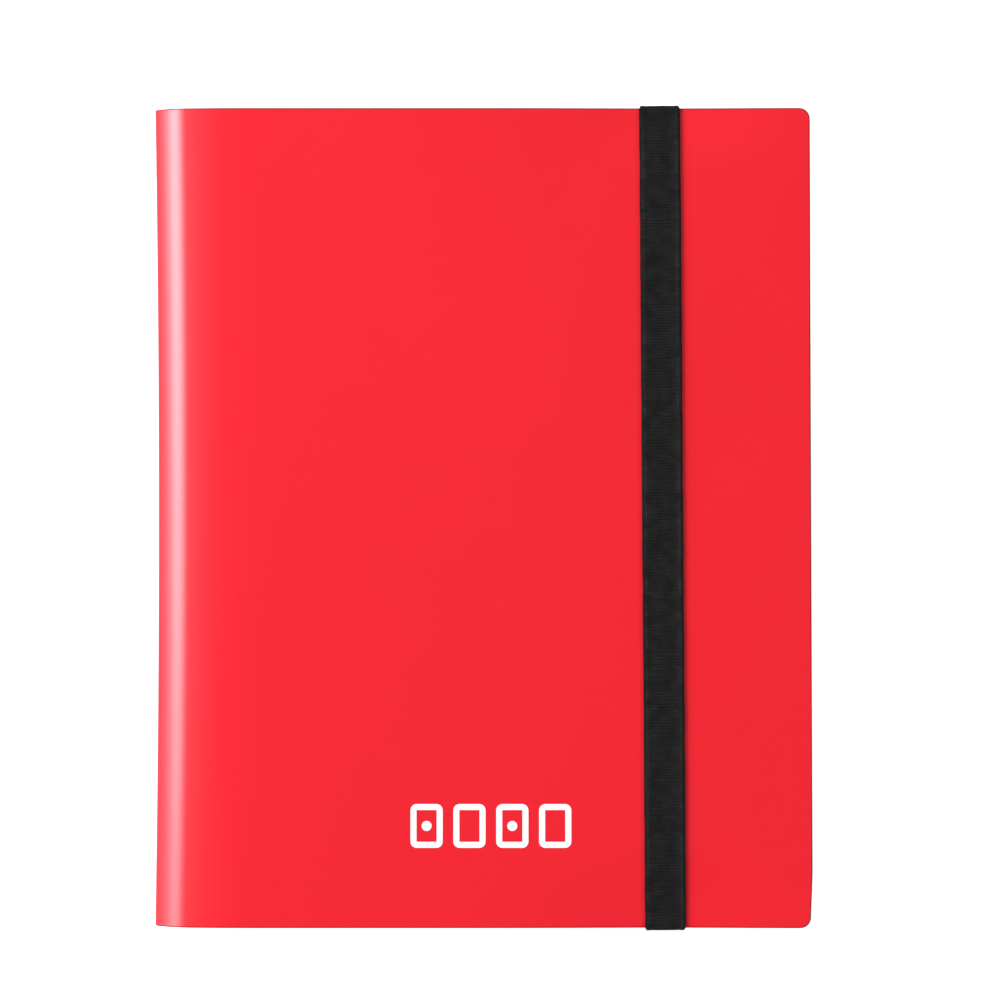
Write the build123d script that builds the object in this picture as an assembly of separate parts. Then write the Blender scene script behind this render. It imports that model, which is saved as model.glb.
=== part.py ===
"""Trading card binder: a red plastic wrap cover, twenty bound pocket pages and an elastic closing strap.

The binder lies closed on its back cover. X runs from the spine (-X) to the fore-edge (+X), Y up the cover
and Z through the thickness. The origin is under the middle of the closed binder, on the surface it lies on.
"""
from build123d import *
import math
import os

# Cover sheet: one die-cut sheet, bent twice at the spine
cover_height = 310.0  # along Y
cover_width = 248.0  # along X, over the spine bends
cover_thickness = 1.0
binder_depth = 30.0  # outside of the back cover to outside of the front cover
bend_radius = 12.0  # outside of each spine bend
corner_radius = 4.0  # fore-edge corners

# Pages
page_count = 20
page_height = 288.0
page_fore_edge = 113.0  # X of the pages' outer edge
page_corner_radius = 3.0
core_thickness = 0.2
lowest_page = 3.0  # height of the last page's middle
page_pitch = (binder_depth - 2 * lowest_page) / (page_count - 1)

# Card pockets: three columns of three on each side of a page, open towards the spine
pocket_columns = 3
pocket_rows = 3
pocket_width = 70.0
pocket_height = page_height / pocket_rows
film_thickness = 0.12
card_space = 0.12  # room between the film and the core of an empty pocket
weld_width = 1.4
column_gap = 0.6  # between neighbouring films
film_margin = 0.4  # film stops this far inside the core's edges

# Binding: pages end in a bare margin that is welded to a T-shaped strip inside the spine
margin_start = page_fore_edge - pocket_columns * pocket_width - 1.0
margin_steps = 8
flange_inner = -116.0  # X of the face that carries the margins
flange_thickness = 1.0
flange_half_depth = 9.4
stem_half_depth = 1.0
binding_pitch_share = 0.72  # margins close up towards the binding strip

# Elastic strap
strap_width = 15.5
strap_thickness = 0.8
strap_x = 67.2
strap_lean = 0.42  # degrees, top edge towards the spine
strap_tab_start = 128.0  # Y where the welded ends begin
strap_clearance_y = 0.15
strap_clearance_z = 0.1
strap_tab_bottom = 1.05
strap_inner_radius = 0.4

# Patches welded over the strap's ends
patch_length = 21.0
patch_start = 131.0
patch_skin = 0.4
patch_flange = 5.0
patch_clearance = 0.4

half_height = cover_height / 2
spine_x = -cover_width / 2
fore_edge_x = cover_width / 2
bend_start_x = spine_x + bend_radius
depth_middle = binder_depth / 2


def slab(x_low, x_high, y_low, y_high, z_low, z_high):
    """Rectangular block between two corners."""
    middle = Pos((x_low + x_high) / 2, (y_low + y_high) / 2, (z_low + z_high) / 2)
    return middle * Box(x_high - x_low, y_high - y_low, z_high - z_low)


def sheet(x_low, x_high, height, z_low, thickness, radius):
    """Flat sheet whose two +X corners are rounded."""
    outline = Pos((x_low + x_high) / 2, 0) * Rectangle(x_high - x_low, height)
    outline = fillet(outline.vertices().group_by(Axis.X)[-1], radius)
    return Pos(0, 0, z_low) * extrude(outline, thickness)


def along_y(face, half_length):
    """Prism of a face drawn in the XZ plane."""
    return extrude(face, half_length, both=True)


def cover_panel(z_low):
    """One flat panel of the cover sheet, from the spine bend to the fore-edge."""
    return sheet(bend_start_x, fore_edge_x, cover_height, z_low, cover_thickness, corner_radius)


def spine_bend(centre_z, towards):
    """Quarter bend of the cover sheet; towards is -1 for the back cover's bend and 1 for the front's."""
    ring = Circle(bend_radius) - Circle(bend_radius - cover_thickness)
    quarter = Pos(-bend_radius / 2, towards * bend_radius / 2) * Rectangle(bend_radius, bend_radius)
    profile = Plane.XZ * Pos(bend_start_x, centre_z) * (ring & quarter)
    return along_y(profile, half_height)


def spine_panel():
    """Flat strip of the cover sheet between the two bends."""
    return slab(
        spine_x,
        spine_x + cover_thickness,
        -half_height,
        half_height,
        bend_radius,
        binder_depth - bend_radius,
    )


def binding_strip():
    """T-shaped strip: its stem is welded to the spine panel and its flange carries the page margins."""
    flange_back = flange_inner - flange_thickness
    half_page = page_height / 2
    flange = slab(
        flange_back,
        flange_inner,
        -half_page,
        half_page,
        depth_middle - flange_half_depth,
        depth_middle + flange_half_depth,
    )
    stem = slab(
        spine_x + cover_thickness,
        flange_back,
        -half_page,
        half_page,
        depth_middle - stem_half_depth,
        depth_middle + stem_half_depth,
    )
    return flange + stem


def page_level(number):
    """Height of a page's middle; page 1 is next to the front cover."""
    return lowest_page + (page_count - number) * page_pitch


def page_margin(number):
    """Bare inner margin of one page, sweeping from the binding strip to the page's own level."""
    level = page_level(number)
    bound = depth_middle + (level - depth_middle) * binding_pitch_share
    middle = []
    for step in range(margin_steps + 1):
        share = step / margin_steps
        eased = (1 - math.cos(math.pi * share)) / 2
        middle.append((flange_inner + share * (margin_start - flange_inner), bound + eased * (level - bound)))
    upper = [(x, z + core_thickness / 2) for x, z in middle]
    lower = [(x, z - core_thickness / 2) for x, z in reversed(middle)]
    profile = Plane.XZ * make_face(Polyline(*upper, *lower, close=True))
    return along_y(profile, page_height / 2)


def page_margins():
    return Compound(children=[page_margin(number) for number in range(1, page_count + 1)])


def page_core():
    """Stiff centre sheet of a page, drawn round z = 0."""
    return sheet(
        margin_start,
        page_fore_edge,
        page_height,
        -core_thickness / 2,
        core_thickness,
        page_corner_radius,
    )


def pocket_film(column, side):
    """One column of three pockets; side is 1 above the core and -1 below it."""
    first = page_fore_edge - pocket_columns * pocket_width
    x_low = first + column * pocket_width + column_gap / 2
    x_high = first + (column + 1) * pocket_width - column_gap / 2
    if column == pocket_columns - 1:
        x_high = page_fore_edge - film_margin
    half = page_height / 2 - film_margin
    core_face = core_thickness / 2
    film_face = core_face + card_space
    film = sheet(x_low, x_high, 2 * half, film_face, film_thickness, page_corner_radius - film_margin)
    if column < pocket_columns - 1:
        film = slab(x_low, x_high, -half, half, film_face, film_face + film_thickness)
    weld_end = x_high - page_corner_radius
    film += slab(x_high - weld_width, x_high, -half + 3, half - 3, core_face, film_face)
    for row in range(pocket_rows + 1):
        seam = -page_height / 2 + row * pocket_height
        low = max(seam - weld_width / 2, -half)
        high = min(seam + weld_width / 2, half)
        end = weld_end if row in (0, pocket_rows) else x_high
        film += slab(x_low, end, low, high, core_face, film_face)
    return film if side > 0 else mirror(film, Plane.XY)


def pocket_films():
    """The six film columns of one page."""
    return [pocket_film(column, side) for side in (1, -1) for column in range(pocket_columns)]


def elastic_strap():
    """Flat elastic band: both ends lie inside the back cover, the rest goes over the front cover."""
    outer_y = half_height + strap_clearance_y + strap_thickness
    outer_top = binder_depth + strap_clearance_z + strap_thickness
    depth = outer_top - strap_tab_bottom
    middle = Pos(0, strap_tab_bottom + depth / 2)
    loop = RectangleRounded(2 * outer_y, depth, strap_inner_radius + strap_thickness)
    inside = RectangleRounded(2 * (outer_y - strap_thickness), depth - 2 * strap_thickness, strap_inner_radius)
    gap = Pos(0, strap_tab_bottom) * Rectangle(2 * strap_tab_start, 4 * strap_thickness)
    profile = Plane.YZ * (middle * (loop - inside) - gap)
    band = extrude(profile, strap_width / 2, both=True)
    return Pos(strap_x, 0, 0) * Rot(0, 0, strap_lean) * band


def strap_patch(end):
    """Hat-shaped patch welded over one end of the strap; end is 1 at the top and -1 at the bottom."""
    half_room = strap_width / 2 + patch_clearance
    half_hat = half_room + patch_skin
    y_low = patch_start
    y_high = patch_start + patch_length
    floor = cover_thickness
    roof = strap_tab_bottom + strap_thickness + 0.05
    hat = slab(-half_hat, half_hat, y_low, y_high, roof, roof + patch_skin)
    for side in (-1, 1):
        wall = sorted((side * half_room, side * half_hat))
        flange = sorted((side * half_room, side * (half_hat + patch_flange)))
        hat += slab(*wall, y_low, y_high, floor, roof + patch_skin)
        hat += slab(*flange, y_low, y_high, floor, floor + patch_skin)
    if end < 0:
        hat = mirror(hat, Plane.XZ)
    return Pos(strap_x, 0, 0) * Rot(0, 0, strap_lean) * hat


def save(shape, node):
    export_step(shape, f"parts/{node}.step")


os.makedirs("parts", exist_ok=True)
save(cover_panel(0), "back_cover")
save(spine_bend(bend_radius, -1), "back_hinge_fold")
save(spine_panel(), "spine_panel")
save(spine_bend(binder_depth - bend_radius, 1), "front_hinge_fold")
save(cover_panel(binder_depth - cover_thickness), "front_cover")
save(binding_strip(), "binding_strip")
save(page_margins(), "page_margins")
save(elastic_strap(), "elastic_strap")
save(strap_patch(1), "strap_patch_top")
save(strap_patch(-1), "strap_patch_bottom")

core = page_core()
films = pocket_films()
for number in range(1, page_count + 1):
    lift = Pos(0, 0, page_level(number))
    save(lift * core, f"page_core_{number:02d}")
    save(Compound(children=[lift * film for film in films]), f"pocket_films_{number:02d}")
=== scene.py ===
import bpy
import bmesh
import math
import random
from mathutils import Matrix, Vector, noise


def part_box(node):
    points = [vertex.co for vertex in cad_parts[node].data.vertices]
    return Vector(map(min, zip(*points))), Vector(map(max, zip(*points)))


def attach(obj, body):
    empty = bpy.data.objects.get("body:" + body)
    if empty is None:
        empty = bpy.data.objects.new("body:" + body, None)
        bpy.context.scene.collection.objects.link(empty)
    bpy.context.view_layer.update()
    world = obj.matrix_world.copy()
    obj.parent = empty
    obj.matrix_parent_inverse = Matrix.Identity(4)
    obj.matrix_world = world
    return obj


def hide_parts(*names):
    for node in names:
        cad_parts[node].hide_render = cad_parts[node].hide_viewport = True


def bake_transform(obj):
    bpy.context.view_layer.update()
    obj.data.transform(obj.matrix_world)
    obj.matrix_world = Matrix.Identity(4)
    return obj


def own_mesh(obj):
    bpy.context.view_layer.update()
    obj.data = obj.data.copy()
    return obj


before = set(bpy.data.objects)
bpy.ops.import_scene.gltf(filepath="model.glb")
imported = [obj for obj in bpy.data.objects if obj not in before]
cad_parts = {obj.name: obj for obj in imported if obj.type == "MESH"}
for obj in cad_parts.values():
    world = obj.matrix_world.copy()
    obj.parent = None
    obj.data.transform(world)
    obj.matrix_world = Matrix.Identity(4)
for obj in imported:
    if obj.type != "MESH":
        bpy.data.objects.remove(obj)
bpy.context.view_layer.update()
mm = 0.001
tiny = 0.001 * mm  # points nearer than this are one point
roundSteps = 7  # facets round a corner
squareEdge = 1.2  # radians; where two faces turn by more, there is a square edge
mixA, mixB, mixOut = 6, 7, 2  # a Mix node's colour sockets
shown = bpy.context.scene
shown.view_settings.view_transform = "Standard"  # keeps the dyed red as strong as it is
print("frame loaded:", len(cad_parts), "nodes")


def smooth(value):
    # eases from 0 up to 1
    value = min(1.0, max(0.0, value))
    return value * value * (3 - 2 * value)


def bell(value):
    # 1 at 0, and nearly nothing beyond 2
    return math.exp(-value ** 2)


def linear(hexColour):
    # sRGB to the linear light that shaders use
    parts = [int(hexColour[i:i + 2], 16) / 255 for i in (1, 3, 5)]
    return [p / 12.92 if p <= 0.04045 else ((p + 0.055) / 1.055) ** 2.4 for p in parts] + [1.0]


def addNode(tree, kind, settings=None, links=None):
    node = tree.nodes.new(kind)
    for name, value in (settings or {}).items():
        if isinstance(name, int) or name in node.inputs:
            node.inputs[name].default_value = value
        else:
            setattr(node, name, value)
    for name, source in (links or {}).items():
        tree.links.new(source, node.inputs[name])
    return node


def newMaterial(name):
    made = bpy.data.materials.new(name)
    made.use_nodes = True
    made.node_tree.nodes.clear()
    return made, made.node_tree


def addPiece(bm, name, materials, sharpAbove=32):
    # turns a bmesh into an object; edges sharper than sharpAbove degrees stay crisp
    mesh = bpy.data.meshes.new(name)
    bm.to_mesh(mesh)
    bm.free()
    for material in materials:
        mesh.materials.append(material)
    mesh.shade_smooth()
    mesh.set_sharp_from_angle(angle=math.radians(sharpAbove))
    piece = bpy.data.objects.new(name, mesh)
    shown.collection.objects.link(piece)
    return piece


def everything(bm):
    return bm.verts[:] + bm.edges[:] + bm.faces[:]


def slices(low, high, step):
    # evenly spaced cuts between two ends, about a step apart
    count = max(1, round((high - low) / step))
    return [low + (high - low) * i / count for i in range(1, count)]


def cutSheet(xLow, xHigh, yLow, yHigh, cornerRadius, xCuts, yCuts):
    # a flat sheet at z = 0 with its two outer corners rounded, sliced so that it can bend
    bm = bmesh.new()
    bmesh.ops.create_grid(bm, x_segments=1, y_segments=1, size=0.5)
    place = Matrix.Translation(((xLow + xHigh) / 2, (yLow + yHigh) / 2, 0))
    stretch = Matrix.Diagonal((xHigh - xLow, yHigh - yLow, 1, 1))
    bmesh.ops.transform(bm, matrix=place @ stretch, verts=bm.verts)
    if cornerRadius:
        corners = [v for v in bm.verts if v.co.x > (xLow + xHigh) / 2]
        bmesh.ops.bevel(bm, geom=corners, offset=cornerRadius, affect="VERTICES", segments=roundSteps,
                        profile=0.5, material=-1)
    for x in xCuts:
        bmesh.ops.bisect_plane(bm, geom=everything(bm), plane_co=(x, 0, 0), plane_no=(1, 0, 0), dist=tiny)
    for y in yCuts:
        bmesh.ops.bisect_plane(bm, geom=everything(bm), plane_co=(0, y, 0), plane_no=(0, 1, 0), dist=tiny)
    return bm


def extrudedRedPolypropylene():
    # polypropylene dyed through, extruded and run over a satin roll: an even strong red with a soft, slightly
    # broken shine, and long faint waves left by cooling; the grain is really 0.3 mm, drawn coarser to show
    made, tree = newMaterial("extrudedRedPolypropylene")
    place = addNode(tree, "ShaderNodeTexCoord").outputs["Object"]
    waves = addNode(tree, "ShaderNodeTexNoise", {"Scale": 1 / (60 * mm), "Detail": 2.0}, {"Vector": place})
    grain = addNode(tree, "ShaderNodeTexNoise", {"Scale": 1 / (0.9 * mm), "Detail": 3.0}, {"Vector": place})
    colour = addNode(tree, "ShaderNodeMix",
                     {"data_type": "RGBA", mixA: linear("#E40D20"), mixB: linear("#EA0F23")},
                     {"Factor": waves.outputs["Fac"]})
    rough = addNode(tree, "ShaderNodeMapRange", {"To Min": 0.35, "To Max": 0.44},
                    {"Value": grain.outputs["Fac"]})
    wavesBump = addNode(tree, "ShaderNodeBump", {"Strength": 0.25, "Distance": 0.4 * mm},
                        {"Height": waves.outputs["Fac"]})
    bump = addNode(tree, "ShaderNodeBump", {"Strength": 0.12, "Distance": 0.02 * mm},
                   {"Height": grain.outputs["Fac"], "Normal": wavesBump.outputs["Normal"]})
    shader = addNode(tree, "ShaderNodeBsdfPrincipled", {"IOR": 1.49, "Specular IOR Level": 0.7},
                     {"Base Color": colour.outputs[mixOut], "Roughness": rough.outputs["Result"],
                      "Normal": bump.outputs["Normal"]})
    addNode(tree, "ShaderNodeOutputMaterial", links={"Surface": shader.outputs["BSDF"]})
    return made


def dieCutRedPaintedShade():
    # the same sheet where the die cut it: duller, with fine marks across the thickness; its darker red is
    # painted shade, for the dark line along the cut edges
    made, tree = newMaterial("dieCutRedPaintedShade")
    place = addNode(tree, "ShaderNodeTexCoord").outputs["Object"]
    marks = addNode(tree, "ShaderNodeTexNoise", {"Scale": 1 / (1.2 * mm), "Detail": 4.0}, {"Vector": place})
    # these darker reds are painted shade along the cut edges
    colour = addNode(tree, "ShaderNodeMix",
                     {"data_type": "RGBA", mixA: linear("#8A0A16"), mixB: linear("#A30E1C")},
                     {"Factor": marks.outputs["Fac"]})
    bump = addNode(tree, "ShaderNodeBump", {"Strength": 0.5, "Distance": 0.06 * mm},
                   {"Height": marks.outputs["Fac"]})
    shader = addNode(tree, "ShaderNodeBsdfPrincipled",
                     {"IOR": 1.49, "Roughness": 0.6, "Specular IOR Level": 0.2},
                     {"Base Color": colour.outputs[mixOut], "Normal": bump.outputs["Normal"]})
    addNode(tree, "ShaderNodeOutputMaterial", links={"Surface": shader.outputs["BSDF"]})
    return made


def embossedBlackPolypropylene():
    # thin polypropylene sheet, embossed by a roll: near-black with a fine pebble that spreads the light;
    # the pebble is really 0.4 mm, drawn coarser to show
    made, tree = newMaterial("embossedBlackPolypropylene")
    place = addNode(tree, "ShaderNodeTexCoord").outputs["Object"]
    pebble = addNode(tree, "ShaderNodeTexVoronoi", {"Scale": 1 / (1.1 * mm)}, {"Vector": place})
    cloud = addNode(tree, "ShaderNodeTexNoise", {"Scale": 1 / (35 * mm), "Detail": 3.0}, {"Vector": place})
    colour = addNode(tree, "ShaderNodeMix",
                     {"data_type": "RGBA", mixA: linear("#141416"), mixB: linear("#1D1D20")},
                     {"Factor": cloud.outputs["Fac"]})
    rough = addNode(tree, "ShaderNodeMapRange", {"To Min": 0.5, "To Max": 0.64},
                    {"Value": cloud.outputs["Fac"]})
    bump = addNode(tree, "ShaderNodeBump", {"Strength": 0.15, "Distance": 0.05 * mm},
                   {"Height": pebble.outputs["Distance"]})
    shader = addNode(tree, "ShaderNodeBsdfPrincipled", {"IOR": 1.49, "Specular IOR Level": 0.25},
                     {"Base Color": colour.outputs[mixOut], "Roughness": rough.outputs["Result"],
                      "Normal": bump.outputs["Normal"]})
    addNode(tree, "ShaderNodeOutputMaterial", links={"Surface": shader.outputs["BSDF"]})
    return made


def castPolypropyleneFilm():
    # polypropylene film, cast clear: glossy but never quite flat, so reflections wander across a pocket
    made, tree = newMaterial("castPolypropyleneFilm")
    place = addNode(tree, "ShaderNodeTexCoord").outputs["Object"]
    ripple = addNode(tree, "ShaderNodeTexNoise", {"Scale": 1 / (24 * mm), "Detail": 2.0}, {"Vector": place})
    haze = addNode(tree, "ShaderNodeTexNoise", {"Scale": 1 / (9 * mm), "Detail": 5.0}, {"Vector": place})
    rough = addNode(tree, "ShaderNodeMapRange", {"To Min": 0.04, "To Max": 0.12},
                    {"Value": haze.outputs["Fac"]})
    bump = addNode(tree, "ShaderNodeBump", {"Strength": 0.35, "Distance": 0.5 * mm},
                   {"Height": ripple.outputs["Fac"]})
    shader = addNode(tree, "ShaderNodeBsdfPrincipled",
                     {"IOR": 1.49, "Transmission Weight": 1.0, "Base Color": linear("#F4F6F8")},
                     {"Roughness": rough.outputs["Result"], "Normal": bump.outputs["Normal"]})
    addNode(tree, "ShaderNodeOutputMaterial", links={"Surface": shader.outputs["BSDF"]})
    return made


def heatWeldedPolypropyleneFilm():
    # the film where a hot knurled bar pressed it onto the black sheet: slanting grey dashes with a duller
    # shine; a real knurl is finer, so its dashes are drawn coarser to show
    made, tree = newMaterial("heatWeldedPolypropyleneFilm")
    place = addNode(tree, "ShaderNodeTexCoord").outputs["Object"]
    knurl = 0.55 * mm  # sets the dashes' pitch
    dashes = addNode(tree, "ShaderNodeTexWave",
                     {"Scale": 1 / (2 * math.pi * knurl), "bands_direction": "DIAGONAL"}, {"Vector": place})
    colour = addNode(tree, "ShaderNodeMix",
                     {"data_type": "RGBA", mixA: linear("#2B2C2F"), mixB: linear("#55575B")},
                     {"Factor": dashes.outputs["Fac"]})
    bump = addNode(tree, "ShaderNodeBump", {"Strength": 0.6, "Distance": 0.08 * mm},
                   {"Height": dashes.outputs["Fac"]})
    shader = addNode(tree, "ShaderNodeBsdfPrincipled", {"IOR": 1.49, "Roughness": 0.3},
                     {"Base Color": colour.outputs[mixOut], "Normal": bump.outputs["Normal"]})
    addNode(tree, "ShaderNodeOutputMaterial", links={"Surface": shader.outputs["BSDF"]})
    return made


def wovenBlackElastic():
    # polyester yarn woven over rubber threads: ribs across the band, flat dense selvedges, a dull fuzzy black
    made, tree = newMaterial("wovenBlackElastic")
    flat = addNode(tree, "ShaderNodeUVMap", {"uv_map": "flat"}).outputs["UV"]
    rib = addNode(tree, "ShaderNodeAttribute", {"attribute_name": "rib"}).outputs["Fac"]
    patches = addNode(tree, "ShaderNodeTexNoise", {"Scale": 1 / (5 * mm), "Detail": 3.0}, {"Vector": flat})
    along = addNode(tree, "ShaderNodeMapping", {"Scale": (1 / (4.5 * mm), 1 / (0.5 * mm), 1)},
                    {"Vector": flat})
    yarn = addNode(tree, "ShaderNodeTexNoise", {"Scale": 1.0, "Detail": 3.0, "Roughness": 0.6},
                   {"Vector": along.outputs["Vector"]})
    mottled = addNode(tree, "ShaderNodeMath", {"operation": "MULTIPLY"},
                      {0: yarn.outputs["Fac"], 1: patches.outputs["Fac"]})
    # the yarn's mottling times the rib attribute, which paints shade into the rib valleys and along the rims
    yarnWithPaintedShade = addNode(tree, "ShaderNodeMath", {"operation": "MULTIPLY"}, {0: mottled.outputs["Value"], 1: rib})
    level = addNode(tree, "ShaderNodeMapRange", {"From Min": 0.03, "From Max": 0.58},
                    {"Value": yarnWithPaintedShade.outputs["Value"]})
    colour = addNode(tree, "ShaderNodeMix",
                     {"data_type": "RGBA", mixA: linear("#080808"), mixB: linear("#2E2F2D")},
                     {"Factor": level.outputs["Result"]})
    fibre = addNode(tree, "ShaderNodeTexNoise", {"Scale": 1 / (0.6 * mm), "Detail": 2.0}, {"Vector": flat})
    yarnBump = addNode(tree, "ShaderNodeBump", {"Strength": 0.7, "Distance": 0.15 * mm},
                       {"Height": yarn.outputs["Fac"]})
    bump = addNode(tree, "ShaderNodeBump", {"Strength": 0.3, "Distance": 0.06 * mm},
                   {"Height": fibre.outputs["Fac"], "Normal": yarnBump.outputs["Normal"]})
    shader = addNode(tree, "ShaderNodeBsdfPrincipled",
                     {"Roughness": 0.85, "Sheen Weight": 0.04, "Sheen Roughness": 0.5,
                      "Specular IOR Level": 0.12},
                     {"Base Color": colour.outputs[mixOut], "Normal": bump.outputs["Normal"]})
    addNode(tree, "ShaderNodeOutputMaterial", links={"Surface": shader.outputs["BSDF"]})
    return made


def screenPrintedWhiteInk():
    # opaque white ink pressed through a screen: flat white with a faint trace of the mesh
    made, tree = newMaterial("screenPrintedWhiteInk")
    place = addNode(tree, "ShaderNodeTexCoord").outputs["Object"]
    trace = addNode(tree, "ShaderNodeTexNoise", {"Scale": 1 / (0.7 * mm), "Detail": 2.0}, {"Vector": place})
    colour = addNode(tree, "ShaderNodeMix",
                     {"data_type": "RGBA", mixA: linear("#F3F1F1"), mixB: linear("#FFFFFF")},
                     {"Factor": trace.outputs["Fac"]})
    bump = addNode(tree, "ShaderNodeBump", {"Strength": 0.15, "Distance": 0.02 * mm},
                   {"Height": trace.outputs["Fac"]})
    shader = addNode(tree, "ShaderNodeBsdfPrincipled", {"IOR": 1.5, "Roughness": 0.42},
                     {"Base Color": colour.outputs[mixOut], "Normal": bump.outputs["Normal"]})
    addNode(tree, "ShaderNodeOutputMaterial", links={"Surface": shader.outputs["BSDF"]})
    return made


def rolledWhiteEmulsion():
    # white emulsion paint, rolled on: plain and matt, with the faintest clouding; it glows towards the viewer
    # so that the backdrop stays white, but gives the binder only a modest bounce
    made, tree = newMaterial("rolledWhiteEmulsion")
    place = addNode(tree, "ShaderNodeTexCoord").outputs["Object"]
    cloud = addNode(tree, "ShaderNodeTexNoise", {"Scale": 1 / (500 * mm)}, {"Vector": place})
    colour = addNode(tree, "ShaderNodeMix",
                     {"data_type": "RGBA", mixA: linear("#BEBEBE"), mixB: linear("#C2C2C2")},
                     {"Factor": cloud.outputs["Fac"]})
    shader = addNode(tree, "ShaderNodeBsdfPrincipled", {"Roughness": 0.9, "Specular IOR Level": 0.1},
                     {"Base Color": colour.outputs[mixOut]})
    seen = addNode(tree, "ShaderNodeLightPath").outputs["Is Camera Ray"]
    glow = addNode(tree, "ShaderNodeEmission", {"Strength": 0.82})
    bright = addNode(tree, "ShaderNodeAddShader",
                     links={0: shader.outputs["BSDF"], 1: glow.outputs["Emission"]})
    either = addNode(tree, "ShaderNodeMixShader",
                     links={0: seen, 1: shader.outputs["BSDF"], 2: bright.outputs["Shader"]})
    addNode(tree, "ShaderNodeOutputMaterial", links={"Surface": either.outputs["Shader"]})
    return made


redSheet = extrudedRedPolypropylene()
redCutEdgeShade = dieCutRedPaintedShade()
blackSheet = embossedBlackPolypropylene()
film = castPolypropyleneFilm()
weld = heatWeldedPolypropyleneFilm()
elastic = wovenBlackElastic()
ink = screenPrintedWhiteInk()
print("materials made")

# the closed binder lies on its back: x from spine to fore-edge, y up the cover, z through the thickness
frontLow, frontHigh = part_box("front_cover")
foldLow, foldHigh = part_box("front_hinge_fold")
strapLow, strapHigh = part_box("elastic_strap")
bendX = frontLow.x  # the flat cover ends and the bend begins
topZ = frontHigh.z
middleZ = topZ / 2
halfHeight = frontHigh.y
bendRadius = foldHigh.z - foldLow.z
spineX = bendX - bendRadius
bendZ = topZ - bendRadius
strapSlip = 0.3 * mm  # the strap has crept a little towards the fore-edge
strapX = (strapLow.x + strapHigh.x) / 2 + strapSlip

# the cover is one bent sheet, made as four pieces that meet half-way round each bend and at mid-spine
cover = {
    "thickness": frontHigh.z - frontLow.z,
    "cornerRadius": 4 * mm,
    "facet": 7 * mm,
    "bendSteps": 8,
    "edgeRound": 0.42 * mm,
    "sharpAbove": 18,
    "seamAngle": math.radians(45),
    "stiff": 1.4 * mm,  # this much on each side of a seam turns as one
    "strapDip": 1.8 * mm,  # how far the strap pulls the cover's edges down
    "dipReach": 36 * mm,
    "dipDepth": 28 * mm,
    "spinePull": 1.3 * mm,  # the spine stands in at mid-height and out at its ends
    "pullIn": 0.2,  # this share of it is inwards
    "pullFrom": -95 * mm,
    "pullFade": 22 * mm,
    "skew": 0.6 * mm,  # the fore-edge leans about a point below mid-height
    "skewPivot": 0.5,
    "foot": 0.7 * mm,  # and turns in at its foot
    "footFrom": 0.8533,
    "footFade": 0.1333,
    "outwardFade": 120 * mm,
    "lift": 0.7 * mm,  # the fore-edge's corners stand up a little
    "liftFromX": 70 * mm,
    "liftFromY": 90 * mm,
    "wave": 0.35 * mm,  # the sheet is nowhere quite flat
    "wavesPerMetre": 9,
    "wavePattern": 3.1,
    "waveFrom": -105 * mm,
    "waveFade": 40 * mm,
    "hingeDrop": 3.6 * mm,  # the sheet rises slowly out of the bend
    "hingeReach": 15 * mm,
    "hingeFrom": 14 * mm,
    "hingeFade": 14 * mm,
}
bendCentre = Vector((bendX, 0, bendZ))
# the way the sheet runs where two pieces meet
seamDirection = Vector((math.sin(cover["seamAngle"]), 0, math.cos(cover["seamAngle"])))
coverCuts = slices(-halfHeight, halfHeight, cover["facet"])


def relax(co, front):
    # how the real sheet departs from flat; the same for every layer at one place, so pieces still meet
    along = co.y / halfHeight
    atSpine = smooth((cover["pullFrom"] - co.x) / cover["pullFade"])
    dx = (cover["pullIn"] - along * along) * cover["spinePull"] * atSpine
    dz = 0.0
    if front:
        outward = smooth(co.x / cover["outwardFade"])
        dx -= (cover["skewPivot"] + along) * cover["skew"] * outward
        dx -= smooth((-along - cover["footFrom"]) / cover["footFade"]) * cover["foot"] * outward
        dip = bell((co.x - strapX) / cover["dipReach"])
        dip *= smooth((abs(co.y) - halfHeight + cover["dipDepth"]) / cover["dipDepth"])
        corner = smooth((co.x - cover["liftFromX"]) / (frontHigh.x - cover["liftFromX"]))
        corner *= smooth((abs(co.y) - cover["liftFromY"]) / (halfHeight - cover["liftFromY"]))
        spot = Vector((co.x * cover["wavesPerMetre"], co.y * cover["wavesPerMetre"], cover["wavePattern"]))
        wave = noise.noise(spot) * smooth((co.x - cover["waveFrom"]) / cover["waveFade"])
        drop = bell((co.x - spineX) / cover["hingeReach"])
        drop *= smooth((co.z - cover["hingeFrom"]) / cover["hingeFade"])
        dz = corner * cover["lift"] + wave * cover["wave"]
        dz -= dip * cover["strapDip"] + drop * cover["hingeDrop"]
    return Vector((co.x + dx, co.y, co.z + dz))


def thickenSheet(bm, outside):
    # a sheet drawn as its outer face gets its thickness, inwards
    bmesh.ops.remove_doubles(bm, verts=bm.verts, dist=tiny)
    bmesh.ops.recalc_face_normals(bm, faces=bm.faces[:])
    if sum(f.normal.dot(outside) * f.calc_area() for f in bm.faces) < 0:
        bmesh.ops.reverse_faces(bm, faces=bm.faces[:])
    bmesh.ops.solidify(bm, geom=bm.faces[:], thickness=cover["thickness"])
    bmesh.ops.recalc_face_normals(bm, faces=bm.faces[:])


def fromEdge(co):
    # how far a point lies inside the die-cut outline
    radius = cover["cornerRadius"]
    x = co.x - frontHigh.x + radius
    y = abs(co.y) - halfHeight + radius
    if x > 0 and y > 0:
        return radius - math.hypot(x, y)
    return radius - max(x, y)


def roundCutEdges(bm, isCut):
    # rounds the square edges that the die left, and gives the cut faces their own finish, whose darker red
    # paints shade along the cut edges
    square = [e for e in bm.edges if len(e.link_faces) == 2 and e.calc_face_angle() > squareEdge]
    bmesh.ops.bevel(bm, geom=[e for e in square if isCut(e)], offset=cover["edgeRound"], affect="EDGES",
                    segments=2, profile=0.5, material=-1)
    for face in bm.faces:
        if fromEdge(face.calc_center_median()) < cover["edgeRound"]:
            face.material_index = 1


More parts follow.
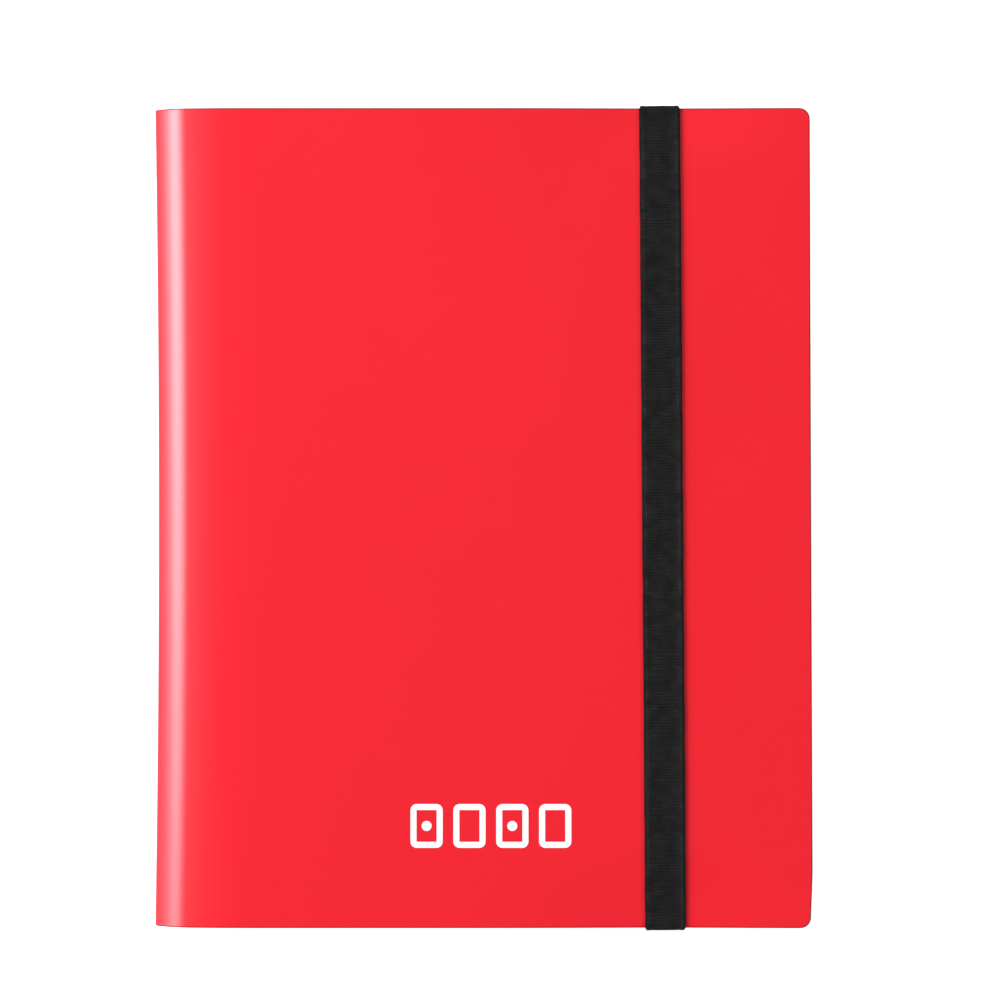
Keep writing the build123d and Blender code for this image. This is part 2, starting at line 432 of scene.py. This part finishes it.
def settleSheet(bm, front):
    # the pieces are drawn for the front cover; the back cover's are their mirror image
    if not front:
        toMiddle = Matrix.Translation((0, 0, middleZ))
        flip = toMiddle @ Matrix.Diagonal((1, 1, -1, 1)) @ toMiddle.inverted()
        bmesh.ops.transform(bm, matrix=flip, verts=bm.verts)
        bmesh.ops.reverse_faces(bm, faces=bm.faces[:])
    for v in bm.verts:
        v.co = relax(v.co, front)


def edgesAt(bm, test):
    edges = [e for e in bm.edges if all(test(v.co) for v in e.verts)]
    return edges + list(dict.fromkeys(v for e in edges for v in e.verts))


def onSeam(edge):
    near = 0.02 * mm
    return all(abs((v.co - bendCentre).dot(seamDirection)) < near for v in edge.verts)


def onMidSpine(edge):
    return all(v.co.z < middleZ + tiny for v in edge.verts)


def coverPanel(front):
    # the flat panel and the outer half of its bend
    bm = cutSheet(bendX, frontHigh.x, -halfHeight, halfHeight, cover["cornerRadius"],
                  slices(bendX, frontHigh.x, cover["facet"]), coverCuts)
    bmesh.ops.translate(bm, vec=(0, 0, topZ), verts=bm.verts)
    bmesh.ops.spin(bm, geom=edgesAt(bm, lambda co: co.x < bendX + tiny), cent=bendCentre, axis=(0, 1, 0),
                   dvec=(0, 0, 0), angle=-cover["seamAngle"], steps=cover["bendSteps"])
    thickenSheet(bm, Vector((0, 0, 1)))
    roundCutEdges(bm, lambda edge: not onSeam(edge))
    settleSheet(bm, front)
    return bm


def spineHalf(front):
    # half of the upright spine and the inner half of its bend
    bm = cutSheet(0, bendZ - middleZ, -halfHeight, halfHeight, 0, [], coverCuts)
    upright = Matrix.Translation((spineX, 0, middleZ)) @ Matrix.Rotation(-math.radians(90), 4, "Y")
    bmesh.ops.transform(bm, matrix=upright, verts=bm.verts)
    bmesh.ops.spin(bm, geom=edgesAt(bm, lambda co: co.z > bendZ - tiny), cent=bendCentre, axis=(0, 1, 0),
                   dvec=(0, 0, 0), angle=cover["seamAngle"], steps=cover["bendSteps"])
    thickenSheet(bm, Vector((-1, 0, 0)))
    roundCutEdges(bm, lambda edge: not onSeam(edge) and not onMidSpine(edge))
    settleSheet(bm, front)
    return bm


def makeCover():
    finishes = [redSheet, redCutEdgeShade]
    for front, side, node in ((False, "back", "back_cover"), (True, "front", "front_cover")):
        panel = addPiece(coverPanel(front), side + "CoverSheet", finishes, cover["sharpAbove"])
        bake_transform(panel)
        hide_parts(node, side + "_hinge_fold")
        half = addPiece(spineHalf(front), side + "SpineSheet", finishes, cover["sharpAbove"])
        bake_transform(half)
        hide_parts("spine_panel", side + "_hinge_fold")
    print("cover made")


makeCover()

# each page is a black sheet from the binding strip to the fore-edge, with clear pockets on both faces
marginLow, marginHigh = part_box("page_margins")
page = {
    "count": 20,
    "thickness": 0.2 * mm,
    "cornerRadius": 3 * mm,
    "marginFacet": 2.25 * mm,
    "facet": 9 * mm,
    "bindingShare": 0.72,  # pages stand closer together at the binding strip
    "ripple": 0.16 * mm,
    "ripplesPerMetre": 11,
    "rippleChange": 0.22,  # from one page to the next
    "rippleFade": 40 * mm,
    "wander": 0.45 * mm,  # pages never line up exactly
    "wanderX": (-1, 0.6),  # shares of it that a page may shift
    "wanderY": (-0.5, 0.5),
    "wanderSeed": 100,
    "wanderFade": 200 * mm,
    "columns": 3,
    "rows": 3,
    "pocketWidth": 70 * mm,
    "pocketHeight": 96 * mm,
    "columnGap": 0.6 * mm,
    "filmMargin": 0.4 * mm,
    "filmThickness": 0.12 * mm,
    "filmFacetX": 16 * mm,
    "filmFacetY": 18 * mm,
    "weldWidth": 1.4 * mm,
    "lie": 0.03 * mm,  # the welds stand this far off the sheet
    "cardSpace": 0.12 * mm,
    "opening": 2.5 * mm,  # the film reaches that space this far from a weld
    "seamCut": 3.15 * mm,  # and is cut about there, beside a seam
    "edgeCut": 3.64 * mm,  # and beside the outer edge
    "puff": 0.1 * mm,  # empty pockets stand open a little more
    "puffFrom": 2 * mm,
    "puffFade": 25 * mm,
}


def pageShift(number):
    shake = random.Random(page["wanderSeed"] + number)
    shiftX = shake.uniform(*page["wanderX"]) * page["wander"]
    shiftY = shake.uniform(*page["wanderY"]) * page["wander"]
    return shiftX, shiftY


def pageHeightAt(co, number, level):
    # the margin sweeps from the binding strip to the page's own level, and the page ripples slightly
    share = min(1.0, max(0.0, (co.x - marginLow.x) / (marginHigh.x - marginLow.x)))
    eased = (1 - math.cos(math.pi * share)) / 2
    bound = middleZ + (level - middleZ) * page["bindingShare"]
    perMetre = page["ripplesPerMetre"]
    spot = Vector((co.x * perMetre, co.y * perMetre, number * page["rippleChange"]))
    ripple = noise.noise(spot) * page["ripple"] * smooth((co.x - marginHigh.x) / page["rippleFade"])
    return bound + eased * (level - bound) + ripple


def placeOnPage(bm, number, level):
    shiftX, shiftY = pageShift(number)
    for v in bm.verts:
        out = smooth((v.co.x - marginLow.x) / page["wanderFade"])
        height = pageHeightAt(v.co, number, level)
        v.co = Vector((v.co.x + shiftX * out, v.co.y + shiftY * out, v.co.z + height))


def pageSheet(number, low, high, level):
    xCuts = slices(marginLow.x, marginHigh.x, page["marginFacet"]) + [marginHigh.x]
    xCuts += slices(marginHigh.x, high.x, page["facet"])
    bm = cutSheet(marginLow.x, high.x, low.y, high.y, page["cornerRadius"], xCuts,
                  slices(low.y, high.y, page["facet"]))
    bmesh.ops.translate(bm, vec=(0, 0, page["thickness"] / 2), verts=bm.verts)
    bmesh.ops.solidify(bm, geom=bm.faces[:], thickness=page["thickness"])
    placeOnPage(bm, number, level)
    sheet = addPiece(bm, f"pageSheet{number:02d}", [blackSheet])
    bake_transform(sheet)
    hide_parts(f"page_core_{number:02d}", "page_margins")


def fromSeam(co, yLow):
    # how far a point lies from the nearest weld across the column
    row = (co.y - yLow) / page["pocketHeight"]
    return abs(row - round(row)) * page["pocketHeight"]


def pocketColumn(column, side, low, high):
    # one clear strip of three pockets; it is welded along its outer edge and across its seams
    first = high.x - page["columns"] * page["pocketWidth"]
    xLow = first + column * page["pocketWidth"] + page["columnGap"] / 2
    xHigh = first + (column + 1) * page["pocketWidth"] - page["columnGap"] / 2
    xHigh = min(xHigh, high.x - page["filmMargin"])
    yLow = low.y + page["filmMargin"]
    yHigh = high.y - page["filmMargin"]
    width = page["weldWidth"]
    cut = page["seamCut"]
    xCuts = slices(xLow, xHigh - 2 * width, page["filmFacetX"]) + [xHigh - page["edgeCut"], xHigh - width]
    yCuts = []
    for row in range(page["rows"] + 1):
        seam = low.y + row * page["pocketHeight"]
        yCuts += [seam - cut, seam - width / 2, seam + width / 2, seam + cut]
        if row < page["rows"]:
            yCuts += slices(seam + cut, seam + page["pocketHeight"] - cut, page["filmFacetY"])
    yCuts = [y for y in yCuts if yLow + tiny < y < yHigh - tiny]
    radius = page["cornerRadius"] if column == page["columns"] - 1 else 0
    bm = cutSheet(xLow, xHigh, yLow, yHigh, radius, xCuts, yCuts)
    for face in bm.faces:
        middle = face.calc_center_median()
        if xHigh - middle.x < width or fromSeam(middle, low.y) < width / 2:
            face.material_index = 1
    for v in bm.verts:
        away = min(fromSeam(v.co, low.y), xHigh - v.co.x)
        opened = smooth((away - width / 2) / page["opening"]) * page["cardSpace"]
        puffed = smooth((away - page["puffFrom"]) / page["puffFade"]) * page["puff"]
        v.co.z = page["thickness"] / 2 + page["lie"] + opened + puffed + page["filmThickness"]
    bmesh.ops.solidify(bm, geom=bm.faces[:], thickness=page["filmThickness"])
    if side < 0:
        bmesh.ops.transform(bm, matrix=Matrix.Diagonal((1, 1, -1, 1)), verts=bm.verts)
        bmesh.ops.reverse_faces(bm, faces=bm.faces[:])
    return bm


def pocketFilms(number, low, high, level):
    joined = bmesh.new()
    part = bpy.data.meshes.new("part")
    for side in (1, -1):
        for column in range(page["columns"]):
            bm = pocketColumn(column, side, low, high)
            bm.to_mesh(part)
            bm.free()
            joined.from_mesh(part)
    bpy.data.meshes.remove(part)
    placeOnPage(joined, number, level)
    films = addPiece(joined, f"pocketFilms{number:02d}", [film, weld])
    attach(films, f"page_{number:02d}")
    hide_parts(f"pocket_films_{number:02d}")


def makePages():
    for number in range(1, page["count"] + 1):
        low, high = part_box(f"page_core_{number:02d}")
        level = (low.z + high.z) / 2
        pageSheet(number, low, high, level)
        pocketFilms(number, low, high, level)
    print("pages made")


makePages()

# the elastic strap is a ribbed band that follows one path over the front cover and round both edges
strap = {
    "width": 15.5 * mm,
    "thickness": 0.8 * mm,
    "lean": math.radians(0.42),
    "bendRadius": 0.8 * mm,  # of the band's middle, round each cover edge
    "edgeRound": 0.3 * mm,
    "sharpAbove": 60,
    "frontEnd": 120 * mm,
    "tabEnd": 128 * mm,
    "squashed": 0.113,
    "necking": 0.5 * mm,  # the band draws in where it bends over the covers' edges
    "neckFrom": 0.2 * mm,
    "neckFade": 1.2 * mm,
    "edgeWander": 0.14 * mm,
    "sagFrom": 20 * mm,  # above this height it follows the front cover down
    "sagFade": 9 * mm,
}
# the band's relief and the shade painted into its rib valleys and along its rims; the numbers per metre are
# how often an unevenness comes round, and each pattern number picks another draw of the noise
weave = {
    "ribPitch": 1.0 * mm,  # real ribs are 0.5 mm apart
    "rowsPerRib": 4,
    "ribDepth": 0.11 * mm,
    "columnWidth": 1.9 * mm,
    "columnMargin": 1 * mm,
    "selvedge": 1.6 * mm,
    "selvedgeFade": 0.5 * mm,
    "cord": 0.35 * mm,  # a paler warp thread runs along each selvedge
    "threadWidth": 0.3 * mm,
    "threadPale": {-1: 0.9, 1: 0.45},  # on the spine side and on the fore-edge side
    "threadBreaksPerMetre": 260,
    "threadPattern": 1,
    "threadApart": 4.4,  # the two selvedges break up differently
    "threadContrast": 3,
    "grooveWidth": 0.25 * mm,
    "grooveDepth": 0.08 * mm,
    "rowDrift": 0.3 * mm,
    "rowDriftPerMetre": 500,
    "rowDriftPattern": 5.5,
    "ribDrift": 0.35 * mm,
    "ribDriftPerMetre": (260, 60),  # across the band and along it
    "ribDriftPattern": 2,
    "wornPerMetre": (330, 1100),
    "wornPattern": 8,
    "wornLeast": 0.35,
    # painted shade along the band's rounded rims: this much darker, over this width
    "rimShade": 0.75,
    "rimWidth": 0.35 * mm,
    "wanderPerMetre": 130,
    "wanderPattern": 0,
    "wanderApart": 3.3,  # the two edges wander differently
}
strapHalf = strap["width"] / 2
selvedgeX = strapHalf - weave["selvedge"]
strapTopZ = strapHigh.z - strap["thickness"] / 2
strapTabZ = strapLow.z + strap["thickness"] / 2
strapSideY = strapHigh.y - strap["thickness"] / 2
quarter = math.pi / 2 * strap["bendRadius"]
frontRun = strapSideY - strap["bendRadius"]
sideRun = strapTopZ - strapTabZ - 2 * strap["bendRadius"]
tabRun = frontRun - strap["tabEnd"]
sideEnd = frontRun + quarter + sideRun + quarter


def strapPath(along):
    # y, z and the outward direction of the band's middle, so far along it from mid-front towards +y
    side = 1 if along >= 0 else -1
    rest = abs(along)
    radius = strap["bendRadius"]
    if rest <= frontRun:
        return side * rest, strapTopZ, 0.0, 1.0
    rest -= frontRun
    if rest <= quarter:
        out = math.sin(rest / radius)
        up = math.cos(rest / radius)
        return side * (frontRun + radius * out), strapTopZ - radius + radius * up, side * out, up
    rest -= quarter
    if rest <= sideRun:
        return side * strapSideY, strapTopZ - radius - rest, side * 1.0, 0.0
    rest -= sideRun
    if rest <= quarter:
        out = math.cos(rest / radius)
        down = math.sin(rest / radius)
        return side * (frontRun + radius * out), strapTabZ + radius - radius * down, side * out, -down
    return side * (frontRun - (rest - quarter)), strapTabZ, 0.0, -1.0


def flatBand(low, high):
    # the band laid flat, with rows fine enough for its ribs, rounded rims and a flat UV map
    cuts = [side * (selvedgeX + off) for side in (-1, 1) for off in (-weave["cord"], 0, weave["cord"])]
    inside = selvedgeX - weave["columnMargin"]
    cuts += slices(-inside, inside, weave["columnWidth"])
    bm = cutSheet(-strapHalf, strapHalf, low, high, 0, sorted(cuts), [])
    rows = round(weave["rowsPerRib"] * (high - low) / weave["ribPitch"])
    long = [e for e in bm.edges if abs(e.verts[0].co.y - e.verts[1].co.y) > tiny]
    bmesh.ops.subdivide_edges(bm, edges=long, cuts=rows - 1, use_grid_fill=True)
    bmesh.ops.translate(bm, vec=(0, 0, strap["thickness"] / 2), verts=bm.verts)
    bmesh.ops.solidify(bm, geom=bm.faces[:], thickness=strap["thickness"])
    bmesh.ops.recalc_face_normals(bm, faces=bm.faces[:])
    square = [e for e in bm.edges if e.calc_face_angle() > squareEdge]
    rims = [e for e in square if all(abs(abs(v.co.x) - strapHalf) < tiny for v in e.verts)
            and abs(e.verts[0].co.z - e.verts[1].co.z) < tiny]
    bmesh.ops.bevel(bm, geom=rims, offset=strap["edgeRound"], affect="EDGES", segments=2, profile=0.5,
                    material=-1)
    flat = bm.loops.layers.uv.new("flat")
    underside = 20 * mm  # its place in the map, beside the top
    for face in bm.faces:
        for loop in face.loops:
            co = loop.vert.co
            loop[flat].uv = (co.x + (underside if co.z < 0 else 0), co.y)
    return bm


def weaveAt(x, along):
    # how deep the ribs and the selvedge's groove are here, and the colour level: painted shade in the rib
    # valleys and along the rounded rims, with a paler thread by each selvedge
    side = 1 if x > 0 else -1
    inner = smooth((selvedgeX - abs(x)) / weave["selvedgeFade"])
    spot = Vector((along * weave["rowDriftPerMetre"], 0, weave["rowDriftPattern"]))
    drift = noise.noise(spot) * weave["rowDrift"]
    across, lengthwise = weave["ribDriftPerMetre"]
    spot = Vector((x * across, along * lengthwise, weave["ribDriftPattern"]))
    drift += noise.noise(spot) * weave["ribDrift"]
    rib = 0.5 + 0.5 * math.cos(2 * math.pi * (along + drift) / weave["ribPitch"])
    across, lengthwise = weave["wornPerMetre"]
    worn = 0.5 + 0.5 * noise.noise(Vector((x * across, along * lengthwise, weave["wornPattern"])))
    # valley sets both the ribs' depth and the shade painted into them
    valley = (1 - rib) * (weave["wornLeast"] + (1 - weave["wornLeast"]) * worn) * inner
    groove = bell((abs(x) - selvedgeX + weave["cord"]) / weave["grooveWidth"]) * weave["grooveDepth"]
    breaks = along * weave["threadBreaksPerMetre"]
    spot = Vector((breaks, side * weave["threadApart"], weave["threadPattern"]))
    broken = smooth(0.5 + noise.noise(spot) * weave["threadContrast"])
    thread = bell((abs(x) - selvedgeX) / weave["threadWidth"]) * broken * weave["threadPale"][side]
    paintedRimShade = 1 - weave["rimShade"] * bell((strapHalf - abs(x)) / weave["rimWidth"])
    return valley * weave["ribDepth"] + groove, (1 - valley) * paintedRimShade + thread


def strapBand(low, high):
    bm = flatBand(low, high)
    # the rib attribute holds painted shade, darker in the rib valleys and along the rims, plus the paler
    # selvedge thread
    shade = bm.verts.layers.float.new("rib")
    for v in bm.verts:
        x, along, out = v.co
        side = 1 if x > 0 else -1
        depth, v[shade] = weaveAt(x, along)
        out -= math.copysign(depth, out)
        neck = smooth((abs(along) - frontRun + strap["neckFrom"]) / strap["neckFade"]) * strap["necking"]
        x -= side * neck * abs(x) / strapHalf
        spot = Vector((along * weave["wanderPerMetre"], side * weave["wanderApart"], weave["wanderPattern"]))
        x += noise.noise(spot) * strap["edgeWander"] * abs(x) / strapHalf
        y, z, outY, outZ = strapPath(along)
        place = Vector((x, y + outY * out, z + outZ * out))
        turned = Matrix.Rotation(strap["lean"], 4, "Z") @ place + Vector((strapX, 0, 0))
        onCover = Vector((turned.x, max(-halfHeight, min(halfHeight, turned.y)), turned.z))
        sag = (relax(onCover, True).z - turned.z) * smooth((place.z - strap["sagFrom"]) / strap["sagFade"])
        v.co = turned + Vector((0, 0, sag))
    return bm


def strapPiece(name, start, end):
    piece = addPiece(strapBand(min(start, end), max(start, end)), name, [elastic], strap["sharpAbove"])
    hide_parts("elastic_strap")
    return piece


def makeStrap():
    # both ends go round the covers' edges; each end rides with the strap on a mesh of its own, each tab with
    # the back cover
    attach(strapPiece("strapFrontLength", -strap["frontEnd"], strap["frontEnd"]), "strap")
    for name, side in (("Top", 1), ("Bottom", -1)):
        end = strapPiece(f"strap{name}End", side * strap["frontEnd"], side * sideEnd)
        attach(end, "strap")
        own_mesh(end)
        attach(strapPiece(f"strap{name}Tab", side * sideEnd, side * (sideEnd + tabRun)), "back_cover")
    print("strap made")


makeStrap()

# the printed mark is a row of plain card outlines, every other one with a dot
mark = {
    "centre": (2.6 * mm, -116.4 * mm),
    "cards": 4,
    "pitch": 16.2 * mm,
    "cardWidth": 12.2 * mm,
    "cardHeight": 16.6 * mm,
    "corner": 2.4 * mm,
    "cornerSteps": 8,
    "stroke": 2.3 * mm,
    "dot": 1.9 * mm,
    "dotSteps": 32,
    "ink": 0.03 * mm,
    "proud": 0.04 * mm,  # the ink's top above the cover
}


def cardOutline(card):
    centreX, centreY = mark["centre"]
    bm = bmesh.new()
    bmesh.ops.create_grid(bm, x_segments=1, y_segments=1, size=0.5)
    stretch = Matrix.Diagonal((mark["cardWidth"], mark["cardHeight"], 1, 1))
    bmesh.ops.transform(bm, matrix=stretch, verts=bm.verts)
    bmesh.ops.bevel(bm, geom=bm.verts[:], offset=mark["corner"], affect="VERTICES",
                    segments=mark["cornerSteps"], profile=0.5, material=-1)
    bmesh.ops.inset_region(bm, faces=bm.faces[:], thickness=mark["stroke"], use_even_offset=True,
                           use_boundary=True)
    inner = max(bm.faces, key=lambda f: len(f.verts))
    bmesh.ops.delete(bm, geom=[inner], context="FACES_ONLY")
    if card % 2 == 0:
        bmesh.ops.create_circle(bm, cap_ends=True, radius=mark["dot"], segments=mark["dotSteps"])
    offset = centreX + (card - (mark["cards"] - 1) / 2) * mark["pitch"]
    bmesh.ops.translate(bm, vec=(offset, centreY, topZ + mark["proud"]), verts=bm.verts)
    return bm


def makeMark():
    bm = bmesh.new()
    part = bpy.data.meshes.new("part")
    for card in range(mark["cards"]):
        one = cardOutline(card)
        one.to_mesh(part)
        one.free()
        bm.from_mesh(part)
    bpy.data.meshes.remove(part)
    bmesh.ops.recalc_face_normals(bm, faces=bm.faces[:])
    if sum(f.normal.z for f in bm.faces) < 0:
        bmesh.ops.reverse_faces(bm, faces=bm.faces[:])
    bmesh.ops.solidify(bm, geom=bm.faces[:], thickness=mark["ink"])
    for v in bm.verts:
        v.co = relax(v.co, True)
    printed = addPiece(bm, "printedCardRow", [ink])
    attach(printed, "front_cover")
    print("mark made")


makeMark()


def finishInnerParts():
    # the patches over the strap's ends and the binding strip keep their own shape
    for name, material in (("strap_patch_top", redSheet), ("strap_patch_bottom", redSheet),
                           ("binding_strip", blackSheet)):
        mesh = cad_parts[name].data
        mesh.materials.clear()
        mesh.materials.append(material)


finishInnerParts()

# the studio, in metres: a wide table, a strip light over the spine and two weaker boxes, and the camera
studio = {
    "floorHalf": 25,
    "floorGap": 0.05 * mm,  # so that the binder's underside and the table don't share one plane
    "room": 0.2,  # how much light the white room gives the binder
    "backdrop": 1.0,  # and how bright the camera sees it
    "cameraHeight": 1.9,
    "cameraOver": (6.05 * mm, 6.8 * mm),
    "seenWidth": 378 * mm,
    "sensorWidth": 36,
    "farthest": 50,
}
# name, place, width, height, radiance, tint
softboxes = (
    ("spineStrip", (-2.3, 0.45, 1.16), 1.35, 1.55, 19.3, (1, 0.95, 1.02)),
    ("foreEdgeBox", (2.2, -0.3, 1.4), 1.4, 1.0, 5.0, (1, 1, 1)),
    ("headBox", (0.3, 2.6, 2.4), 2.2, 1.0, 2.4, (1, 1, 1)),
)


def makeFloor():
    bm = bmesh.new()
    bmesh.ops.create_grid(bm, x_segments=1, y_segments=1, size=studio["floorHalf"])
    bmesh.ops.translate(bm, vec=(0, 0, -studio["floorGap"]), verts=bm.verts)
    addPiece(bm, "studioFloor", [rolledWhiteEmulsion()])


def makeSoftbox(name, place, width, height, radiance, tint):
    data = bpy.data.lights.new(name, "AREA")
    data.shape = "RECTANGLE"
    data.size = width
    data.size_y = height
    data.energy = radiance * math.pi * width * height
    data.color = tint
    lamp = bpy.data.objects.new(name, data)
    lamp.location = place
    lamp.rotation_euler = (-Vector(place)).to_track_quat("-Z", "Y").to_euler()
    shown.collection.objects.link(lamp)


def makeRoom():
    # a dim room round the binder that the camera sees as a white backdrop
    world = bpy.data.worlds.new("studio")
    shown.world = world
    world.use_nodes = True
    tree = world.node_tree
    tree.nodes.clear()
    seen = addNode(tree, "ShaderNodeLightPath").outputs["Is Camera Ray"]
    level = addNode(tree, "ShaderNodeMapRange", {"To Min": studio["room"], "To Max": studio["backdrop"]},
                    {"Value": seen})
    sky = addNode(tree, "ShaderNodeBackground", {"Color": (1, 1, 1, 1)},
                  {"Strength": level.outputs["Result"]})
    addNode(tree, "ShaderNodeOutputWorld", links={"Surface": sky.outputs["Background"]})


def makeCamera():
    # straight above the closed binder, far enough away that the cover's outline stays nearly square
    data = bpy.data.cameras.new("overhead")
    data.sensor_width = studio["sensorWidth"]
    data.lens = studio["sensorWidth"] * studio["cameraHeight"] / studio["seenWidth"]
    data.clip_end = studio["farthest"]
    camera = bpy.data.objects.new("overhead", data)
    camera.location = (*studio["cameraOver"], topZ + studio["cameraHeight"])
    shown.collection.objects.link(camera)
    shown.camera = camera


makeFloor()
for box in softboxes:
    makeSoftbox(*box)
makeRoom()
makeCamera()
print("studio made")
